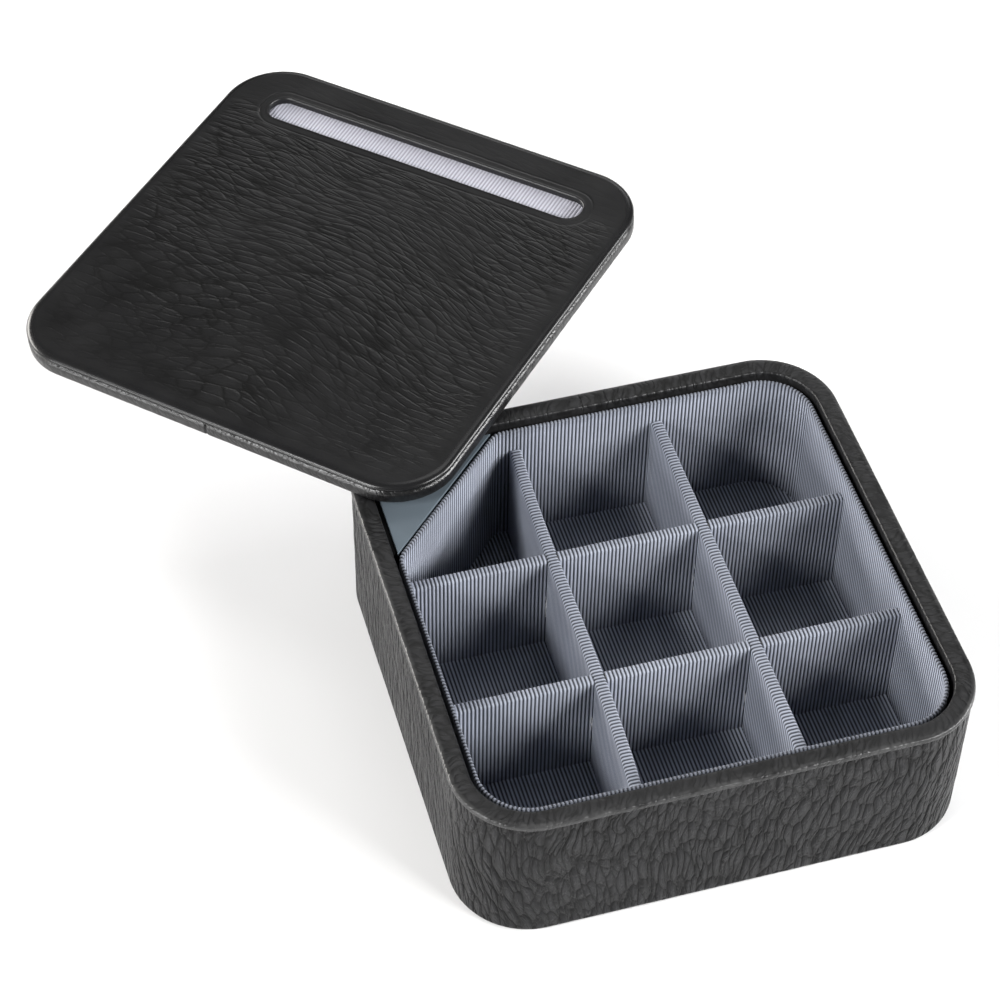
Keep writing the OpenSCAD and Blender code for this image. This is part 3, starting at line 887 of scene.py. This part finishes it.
def ribbed_sheet(name, place, reach, top, thick, rows, **more):
    """A flat ribbed sheet with its ribs along Y: column k runs between the two ends in reach."""
    s, ridge, rib = place
    share = np.linspace(0, 1, rows)
    low, high = reach
    y = low[:, None] + (high - low)[:, None] * share
    x = np.broadcast_to(s[:, None], y.shape)
    sag = 0.05 * noise(x / 20, y / 20, 61)
    outer = np.stack([x, y, top + rib_lift(ridge)[:, None] + sag], -1)
    inner = np.stack([x, y, np.full(y.shape, top - thick)], -1)
    points = np.concatenate([outer.reshape(-1, 3), inner.reshape(-1, 3)])
    values = {"ridge": np.tile(np.broadcast_to(ridge[:, None], y.shape).ravel(), 2),
              "along": np.tile((y + thread_shift(rib)[:, None]).ravel(), 2)}
    faces = shell_faces(np.ones((len(s) - 1, rows - 1), bool))
    return piece(name, points, [faces], values=values, sharp=80, **more)


def outline_reach(outline, x):
    """Lowest and highest y of a convex outline at each x."""
    points, normal = outline.at(outline.columns(0.2))
    ends = []
    for side in (normal[:, 1] < 0, normal[:, 1] > 0):
        chain = points[side][np.argsort(points[side][:, 0])]
        ends.append(np.interp(x, chain[:, 0], chain[:, 1]))
    return ends


def make_floor():
    """The ribbed cloth on the floor, cut to the liner's plan."""
    outline = liner_outline(LINER_T + 0.1)
    low, high = rest_box("floor_fabric")
    s, ridge, rib = rib_columns(high[0] - low[0])
    x = s + low[0]
    return ribbed_sheet("floor_grosgrain", (x, ridge, rib), outline_reach(outline, x), high[2], FABRIC_T, 30,
                        material=floor_cloth, body="box", slot="grosgrain", replaced=["floor_fabric"])


def divider_bow(along, divider):
    """The left long divider is a little bent, towards the left at its front end."""
    if divider != "long_divider_left":
        return np.zeros_like(along)
    share = along / 66
    return 1.75 * share ** 3 - 0.25 * share ** 2


def divider_grid(low_z, top, half_t):
    """The stations of a divider's cloth from one foot over its flat top to the other foot."""
    r = half_t * 0.55
    wall = straight((half_t, low_z), (half_t, top - r), 2.6)
    turn = arc((half_t - r, top - r), r, 0, 90, 5)
    left_half = np.concatenate([turn[::-1], wall[::-1]]) * [-1, 1]
    return np.concatenate([wall, turn, [(0, top)], left_half])


def crossing_of(divider, part):
    """How far from the middle a divider's part, cloth or core, is crossed by the others."""
    run, other = (1, "cross_divider_back_") if divider.startswith("long") else (0, "long_divider_right_")
    low, high = rest_box(other + part)
    return (low[run] + high[run]) / 2


def make_divider(divider):
    """A divider's ribbed cloth, with the notches where it crosses the others."""
    node = divider + "_fabric"
    is_long = divider.startswith("long")
    low, high = rest_box(node)
    run = 1 if is_long else 0
    across = 1 - run
    middle = (low[across] + high[across]) / 2
    crossing = crossing_of(divider, "fabric")
    notch_z = rest_box("long_divider_left_fabric")[0][2] / 2 + high[2] / 2
    outer = divider_grid(low[2], high[2], DIVIDER_T / 2)
    inner = divider_grid(low[2], high[2] - FABRIC_T, DIVIDER_T / 2 - FABRIC_T)
    nearest = np.abs(outer[:, 1] - notch_z) == np.abs(outer[:, 1] - notch_z).min()
    outer[nearest, 1] = notch_z
    inner[nearest, 1] = notch_z
    s, ridge, rib = rib_columns(high[run] - low[run])
    s = s + low[run]
    for edge in (-1, 1):
        for end in (-1, 1):
            goal = end * crossing + edge * (DIVIDER_T / 2 + NOTCH_CLEAR)
            s[np.abs(s - goal).argmin()] = goal
    mid_s = (s[1:] + s[:-1]) / 2
    mid_z = (outer[1:, 1] + outer[:-1, 1]) / 2
    in_notch = np.abs(np.abs(mid_s) - crossing) < DIVIDER_T / 2
    gone = (mid_z < notch_z) if is_long else (mid_z > notch_z)
    present = ~(in_notch[:, None] & gone[None, :])
    grid_s, height = np.broadcast_arrays(s[:, None], outer[None, :, 1])
    normal = section_normals(outer) * -1
    lift = rib_lift(ridge)[:, None] + 0.05 * noise(grid_s / 14, height / 12, 71 + len(node))
    shift = divider_bow(s, divider)[:, None]
    points = np.empty((2, len(s), len(outer), 3))
    points[0, ..., across] = middle + shift + outer[None, :, 0] + lift * normal[None, :, 0]
    points[1, ..., across] = middle + shift + inner[None, :, 0]
    points[..., run] = grid_s
    points[0, ..., 2] = outer[None, :, 1] + lift * normal[None, :, 1]
    points[1, ..., 2] = inner[None, :, 1]
    along = section_run(outer)[None, :] + thread_shift(rib)[:, None]
    # The ribs are painted a little darker over the divider's top: painted shade, as the top takes more light.
    ridge_with_painted_top_shade = ridge[:, None] * (1 - 0.1 * smoothstep(high[2] - 1.2, high[2], height))
    values = {"ridge": np.tile(ridge_with_painted_top_shade.ravel(), 2), "along": np.tile(along.ravel(), 2)}
    faces = shell_faces(present)
    if is_long:
        faces = faces[:, ::-1]
    return piece(divider + "_grosgrain", points.reshape(-1, 3), [faces], material=cloth, body="box",
                 slot="grosgrain", replaced=[node], values=values, sharp=80)


def make_bent_core():
    """The card inside the left long divider, which is bent as its cloth is."""
    node = "long_divider_left_core"
    low, high = rest_box(node)
    crossing = crossing_of("long_divider_left", "core")
    half_t = (high[0] - low[0]) / 2 - 0.02
    notch_z = (low[2] + high[2] + FABRIC_T) / 2
    gap = DIVIDER_T / 2 + NOTCH_CLEAR
    stations = np.concatenate([straight((0, low[2]), (0, notch_z), 9)[:, 1],
                               straight((0, notch_z), (0, high[2] - 0.5), 6)[:, 1], [high[2] - 0.5]])
    cuts = [low[1], -crossing - gap, -crossing + gap, crossing - gap, crossing + gap, high[1]]
    y = np.concatenate([np.linspace(a, b, 9)[:-1] for a, b in zip(cuts, cuts[1:])] + [[high[1]]])
    mid_y, mid_z = (y[1:] + y[:-1]) / 2, (stations[1:] + stations[:-1]) / 2
    present = ~((np.abs(np.abs(mid_y) - crossing) < gap)[:, None] & (mid_z < notch_z)[None, :])
    shape = (len(y), len(stations))
    points = np.empty((2,) + shape + (3,))
    centre = (low[0] + high[0]) / 2 + divider_bow(y, "long_divider_left")[:, None]
    points[0, ..., 0] = centre + half_t
    points[1, ..., 0] = centre - half_t
    points[..., 1] = y[:, None]
    points[..., 2] = stations[None, :]
    return piece("long_divider_left_card", points.reshape(-1, 3), [shell_faces(present)], material=card,
                 body="box", slot="card", replaced=[node], sharp=40)


def make_base_felt():
    """The thin felt under the box, with a soft cut edge."""
    low, high = rest_box("base_cover")
    corner_r = BOX_CORNER_R - LIP_PROUD - 1.5
    outline = rectangle_outline(high[0], high[1], corner_r)
    edge_w = 2.0
    path = np.array([(-edge_w, low[2]), (-0.1, low[2]), (0, low[2] + 0.1), (0, high[2] - 0.1),
                     (-0.1, high[2]), (-edge_w, high[2])])
    rim = swept(outline, outline.columns(1.5), path)

    def distance(x, y):
        return rect_distance(x, y, high[0] - edge_w, high[1] - edge_w, corner_r - edge_w)

    flat, faces = filled_plane([rim[:, 0, :2]], distance, 4.0)
    fuzz = 0.04 * np.abs(noise(flat[:, 0] / 3, flat[:, 1] / 3, 81)) * (distance(flat[:, 0], flat[:, 1]) < -1)
    points, blocks = merged(*numbered([(rim, band_quads(rim)), (level(flat, high[2]), faces),
                                       (level(flat, low[2] + fuzz), turned_over(faces))]))
    return piece("base_felt", points, blocks, material=felt, body="box", slot="felt",
                 replaced=["base_cover"], sharp=60)


def tube(path, radius, sides=6):
    """Points and faces of a thin closed tube along a path."""
    path = np.array(path, float)
    forward = np.gradient(path, axis=0)
    forward /= np.linalg.norm(forward, axis=1)[:, None]
    side = np.cross(forward, [0.3, 0.9, 0.2])
    side /= np.linalg.norm(side, axis=1)[:, None]
    up = np.cross(forward, side)
    a = np.linspace(0, 2 * math.pi, sides, endpoint=False)
    taper = np.clip(np.minimum(np.arange(len(path)), np.arange(len(path))[::-1]) + 0.4, 0, 1) * radius
    ring = side[:, None, :] * np.cos(a)[None, :, None] + up[:, None, :] * np.sin(a)[None, :, None]
    points = (path[:, None, :] + ring * taper[:, None, None]).reshape(-1, 3)
    first_cap = np.arange(sides)[None, ::-1]
    last_cap = np.arange(sides)[None, :] + (len(path) - 1) * sides
    return points, [grid_quads(len(path), sides, close_columns=True), first_cap, last_cap]


def fray(rng, corner):
    """One fibre that stands up or down from a cut edge, kept clear of the cloth behind it."""
    z = rng.uniform(13, 25)
    reach = rng.uniform(1.2, 4.5)
    start = np.array([corner[0] - rng.uniform(0.1, 0.5), corner[1] - rng.uniform(0.1, 0.5), z])
    bend = rng.normal(0, 0.35, (6, 3)).cumsum(0) * [0.25, 0.25, 0.15]
    line = start + bend + np.linspace(0, 1, 6)[:, None] * [0.1, -0.15, reach * rng.choice([-1, 1])]
    line[:, :2] = np.minimum(line[:, :2], corner - 0.06)
    return tube(line, rng.uniform(0.05, 0.10))


def make_frays():
    """A few pale fibres that stand out of the cut cloth where the dividers cross."""
    rng = np.random.default_rng(5)
    low, high = rest_box("long_divider_right_fabric")
    crossing = (low[0] + high[0]) / 2
    corners = [np.array([x, y]) - DIVIDER_T / 2 for x in (-crossing, crossing) for y in (-crossing, crossing)]
    points, blocks = numbered([fray(rng, corner) for corner in corners for k in range(7)])
    return piece("frayed_fibres", points, blocks, material=fibre, body="box", slot="grosgrain", replaced=[])


# ---- lid pieces, made closed and then swung open ----

def make_lid_edge():
    """The rounded leather band round the lid's lower panel."""
    outline = lid_outline()
    low, high = closed_box("lid_edge_leather")
    bottom, top = low[2], high[2]
    face = np.concatenate([
        [(-LINING_IN, bottom), (-2.0, bottom)],
        arc((-1.25, bottom + 1.25), 1.25, -90, -10, 7),
        [(0.02, bottom + 1.9), (0.05, bottom + 2.6)],
        arc((-1.65, top - 1.62), 1.7, 0, 80, 9),
        [(-LID_GROOVE_IN, top + 0.08)],
    ])
    back = [(-LID_GROOVE_IN, top - 0.15), (-LEATHER_T, top - 0.25), (-LEATHER_T, bottom + 0.5),
            (-LINING_IN, bottom + 0.5)]
    s = outline.columns(STRIP_STEP)
    grid_s, across = np.broadcast_arrays(s[:, None], face[None, :, 1] - face[None, :, 0])
    grain, amount = strip_grain(grid_s, across, 93)
    seen = smoothstep(-2.2, -1.2, face[None, :, 0])
    upper_half = np.broadcast_to(smoothstep(bottom + 1.5, bottom + 3.0, face[None, :, 1]), amount.shape)
    seam = butt_joints(grid_s, [0, outline.length], 0.3)
    lift = (0.3 * seam - strip_relief(grid_s, across, 91, 0.05)) * seen
    return ring_piece("lid_edge_band", outline, s, face, back, lift, material=edge_skin, body="lid",
                      slot="edge_leather", replaced=["lid_edge_leather"], grain=grain,
                      values={"amount": amount * seen, "rubbed": 0.3 * upper_half})


def lid_roll_section(skirt, top):
    """The section of the top leather's edge, from the groove up over its roll to the flat."""
    roll = arc((0, 0), 1, 0, 90, 8) * [LID_ROLL_W, LID_ROLL_H] + [-LID_ROLL_W, top - LID_ROLL_H]
    return np.concatenate([
        [(-LID_GROOVE_IN + 0.08, skirt - 0.5), (-LID_GROOVE_IN + 0.1, skirt - 0.03), (-0.8, skirt)],
        arc((-0.5, skirt + 0.5), 0.5, -75, -5, 4),
        roll,
        straight((-LID_ROLL_W - 0.4, top), (-LID_RIM_W, top), 0.5),
        [(-LID_RIM_W, top)],
    ])


def slot_lip_section(bottom, top):
    """The section of the leather turned down into the slot."""
    return np.concatenate([
        [(0.25, bottom), (0.0, bottom + 0.6), (0.0, top - 0.45)],
        arc((0.45, top - 0.45), 0.45, 180, 100, 5),
        straight((0.6, top), (SLOT_RIM_W, top), 0.27),
        [(SLOT_RIM_W, top)],
    ])


def moved(points, x, y):
    """Points shifted in the plane."""
    return points + [x, y, 0]


def lid_top_plane(edge, slot, edge_margin, slot_margin, step):
    """The flat between a lid-edge border and a slot border."""
    def distance(x, y):
        return np.maximum(lid_distance(x, y) + edge_margin, slot_margin - slot_distance(x, y))
    return filled_plane([edge[:, -1, :2], slot[:, -1, :2]], distance, step)


def make_lid_top():
    """The top panel's leather: round edge, flowing creases, and the slot with its raised lip."""
    low, high = closed_box("lid_top_leather")
    top, slot_bottom = high[2], low[2]
    skirt = closed_box("lid_top_board")[0][2] + 0.6
    outline = lid_outline()
    slot_ring = rectangle_outline(SLOT_LEN / 2, SLOT_W / 2, SLOT_W / 2 - 1e-3)
    s = outline.columns(LID_STEP)
    slot_s = slot_ring.columns(STRIP_STEP)
    edge = swept(outline, s, lid_roll_section(skirt, top))
    slot = moved(swept(slot_ring, slot_s, slot_lip_section(slot_bottom, top)), 0, slot_centre_y())
    flat, faces = lid_top_plane(edge, slot, LID_RIM_W, SLOT_RIM_W, LID_STEP)
    under_z = top - LID_SKIN_T
    edge_back = [(-LID_GROOVE_IN, skirt - 0.5), (-LID_GROOVE_IN, skirt + 0.02),
                 (-LID_SKIN_T, skirt + 0.05), (-LID_SKIN_T, under_z)]
    slot_back = [(LID_SKIN_T, slot_bottom), (LID_SKIN_T, under_z)]
    under_edge = swept(outline, s, np.array(edge_back))
    under_slot = moved(swept(slot_ring, slot_s, np.array(slot_back)), 0, slot_centre_y())
    under, under_faces = lid_top_plane(under_edge, under_slot, LID_SKIN_T, LID_SKIN_T, 4.0)
    edge_wall = np.concatenate([under_edge[:, ::-1], edge], 1)
    slot_wall = np.concatenate([under_slot[:, ::-1], slot], 1)
    points, blocks = merged(*numbered([(edge_wall, band_quads(edge_wall)),
                                       (slot_wall, turned_over(band_quads(slot_wall))),
                                       (level(flat, top), faces),
                                       (level(under, under_z), turned_over(under_faces))]))
    x, y, z = points.T
    grain, amount = lid_grain(x, y)
    upper = smoothstep(top - 0.5, top - 0.02, z)
    rubbed = 0.7 * smoothstep(-LID_ROLL_W - 1.0, -LID_ROLL_W + 0.6, lid_distance(x, y))
    points[:, 2] += lid_relief(x, y) * upper
    return piece("lid_top_skin", points, blocks, material=lid_skin, body="lid", slot="lid_leather",
                 replaced=["lid_top_leather"], grain=grain,
                 values={"amount": amount * upper, "rubbed": rubbed})


def make_lid_lining():
    """The lining under the lid, with the hole for the pivot's disc."""
    low, high = closed_box("lid_lining")
    joint = frame["joints"][0]["pos_m"]
    disc_x, disc_y = joint[0] / MM, joint[1] / MM
    corner_r = LID_CORNER_R - LINING_IN
    outline = rectangle_outline(high[0], high[1], corner_r)
    hole = rectangle_outline(DISC_R, DISC_R, DISC_R - 1e-3)
    edge_w = 1.0
    path = np.array([(-edge_w, low[2]), (-0.08, low[2]), (0, low[2] + 0.08), (0, high[2]),
                     (-edge_w, high[2])])
    edge = swept(outline, outline.columns(1.5), path)
    hole_edge = moved(swept(hole, hole.columns(1.2), path * [-1, 1]), disc_x, disc_y)

    def distance(x, y):
        outside = rect_distance(x, y, high[0] - edge_w, high[1] - edge_w, corner_r - edge_w)
        return np.maximum(outside, DISC_R + edge_w - np.hypot(x - disc_x, y - disc_y))

    flat, faces = filled_plane([edge[:, 0, :2], hole_edge[:, 0, :2]], distance, 2.5)
    wave = 0.06 * noise(flat[:, 0] / 14, flat[:, 1] / 14, 97)
    wave = wave * smoothstep(0, -4, distance(flat[:, 0], flat[:, 1]))
    points, blocks = merged(*numbered([(edge, band_quads(edge)),
                                       (hole_edge, turned_over(band_quads(hole_edge))),
                                       (level(flat, low[2] + wave), turned_over(faces)),
                                       (level(flat, high[2]), faces)]))
    return piece("lid_lining_cloth", points, blocks, material=lining, body="lid", slot="lining",
                 replaced=["lid_lining"], sharp=60)


def make_ribbon():
    """The ribbed ribbon seen through the slot."""
    low, high = closed_box("slot_ribbon")
    s, ridge, rib = rib_columns(high[0] - low[0])
    x = s + low[0]
    half_w = SLOT_W / 2 + RIBBON_MARGIN
    past = np.maximum(np.abs(x) - (high[0] - half_w), 0)
    half_y = np.sqrt(np.maximum(half_w ** 2 - past ** 2, 0.01))
    middle = slot_centre_y()
    return ribbed_sheet("slot_grosgrain", (x, ridge, rib), (middle - half_y, middle + half_y), high[2],
                        FABRIC_T, 8, material=ribbon_cloth, body="lid", slot="ribbon",
                        replaced=["slot_ribbon"])


# ---- CAD nodes that stay, with their finishes ----

CAD_FINISHES = {
    "base_board": board, "wall_frame": board, "corner_block": black_card, "lid_base_board": black_card,
    "liner_card": card, "floor_card": card, "long_divider_right_core": card,
    "cross_divider_front_core": card, "cross_divider_back_core": card, "lid_top_board": black_card,
    "corner_plate": plate_paint, "corner_plate_screws": zinc, "pivot_bush": turned_brass,
    "lid_pivot_disc": zinc, "lid_disc_screws": zinc, "pivot_stud": zinc, "spring_washer": zinc,
    "pivot_nut": zinc, "spacer_washer": nylon,
}
BEVELLED = {"corner_plate": 0.18, "corner_plate_screws": 0.06, "pivot_bush": 0.12, "lid_pivot_disc": 0.12,
            "lid_disc_screws": 0.06, "pivot_stud": 0.15, "spacer_washer": 0.1, "spring_washer": 0.1,
            "pivot_nut": 0.2}


def finish_cad_nodes():
    """Gives each carried-over node its material, and the small metal parts broken edges."""
    for name, material in CAD_FINISHES.items():
        obj = frame["nodes"][name]
        obj.data.materials.clear()
        obj.data.materials.append(material)
        if name in BEVELLED:
            weld = obj.modifiers.new("weld", "WELD")
            weld.merge_threshold = 0.002 * MM
            bevel = obj.modifiers.new("bevel", "BEVEL")
            bevel.width = BEVELLED[name] * MM
            bevel.segments = 2
            bevel.limit_method = "ANGLE"
            bevel.angle_limit = math.radians(40)


# ---- studio ----

def add_camera():
    """The camera at the photograph's viewing angle."""
    azimuth, elevation, roll = (math.radians(a) for a in (CAMERA_AZIMUTH, CAMERA_ELEVATION, CAMERA_ROLL))
    back = Vector((math.sin(azimuth) * math.cos(elevation), -math.cos(azimuth) * math.cos(elevation),
                   math.sin(elevation)))
    right = Vector((0, 0, 1)).cross(back).normalized()
    up = back.cross(right)
    turned_right = math.cos(roll) * right + math.sin(roll) * up
    turned_up = math.cos(roll) * up - math.sin(roll) * right
    camera = bpy.data.objects.new("camera", bpy.data.cameras.new("camera"))
    bpy.context.scene.collection.objects.link(camera)
    rows = Matrix((turned_right, turned_up, back)).transposed().to_4x4()
    camera.matrix_world = Matrix.Translation((Vector(CAMERA_TARGET) + back * CAMERA_DISTANCE) * MM) @ rows
    camera.data.lens = CAMERA_LENS
    camera.data.sensor_width = SENSOR
    camera.data.clip_start = 0.01
    bpy.context.scene.camera = camera


def softbox(name, azimuth, elevation, size, power, colour=(1, 1, 1)):
    """A rectangular area light that looks at the box, size in metres and power in watts."""
    a, e = math.radians(azimuth), math.radians(elevation)
    away = Vector((math.sin(a) * math.cos(e), -math.cos(a) * math.cos(e), math.sin(e)))
    light = bpy.data.lights.new(name, "AREA")
    light.shape = "RECTANGLE"
    light.size, light.size_y = size
    light.energy = power
    light.color = colour
    obj = bpy.data.objects.new(name, light)
    obj.location = away * LIGHT_DISTANCE
    obj.rotation_euler = away.to_track_quat("Z", "Y").to_euler()
    bpy.context.scene.collection.objects.link(obj)


def add_studio():
    """A pale floor, a white surround and soft lights."""
    mesh = bpy.data.meshes.new("studio_floor")
    corners = [(x * FLOOR_HALF, y * FLOOR_HALF, 0) for x, y in ((-1, -1), (1, -1), (1, 1), (-1, 1))]
    mesh.from_pydata(corners, [], [(0, 1, 2, 3)])
    mesh.materials.append(studio_floor("studio_floor_pale"))
    floor = bpy.data.objects.new("studio_floor", mesh)
    bpy.context.scene.collection.objects.link(floor)
    world = bpy.data.worlds.new("studio")
    world.use_nodes = True
    background = world.node_tree.nodes["Background"]
    background.inputs["Color"].default_value = (1, 1, 1, 1)
    background.inputs["Strength"].default_value = WORLD_STRENGTH
    bpy.context.scene.world = world
    softbox("key_light", 40, 31, (0.6, 0.5), 21)
    softbox("back_light", 158, 26, (0.9, 0.3), 2.4)
    softbox("top_light", 150, 66, (0.8, 0.5), 3)
    softbox("left_light", -72, 38, (0.45, 0.35), 19)
    softbox("left_front_light", -72, 10, (0.9, 0.35), 13)
    softbox("back_left_light", -134, 12, (1.2, 0.6), 34, (1.0, 0.97, 0.93))
    softbox("right_light", 74, 20, (0.9, 0.5), 34)
    bpy.context.scene.view_settings.view_transform = "Standard"


add_camera()
finish_cad_nodes()
make_side_leather()
make_rim_leather()
make_liner()
make_floor()
for divider in ("long_divider_left", "long_divider_right", "cross_divider_front", "cross_divider_back"):
    make_divider(divider)
make_bent_core()
make_base_felt()
make_frays()
make_lid_edge()
make_lid_top()
make_lid_lining()
make_ribbon()
add_studio()
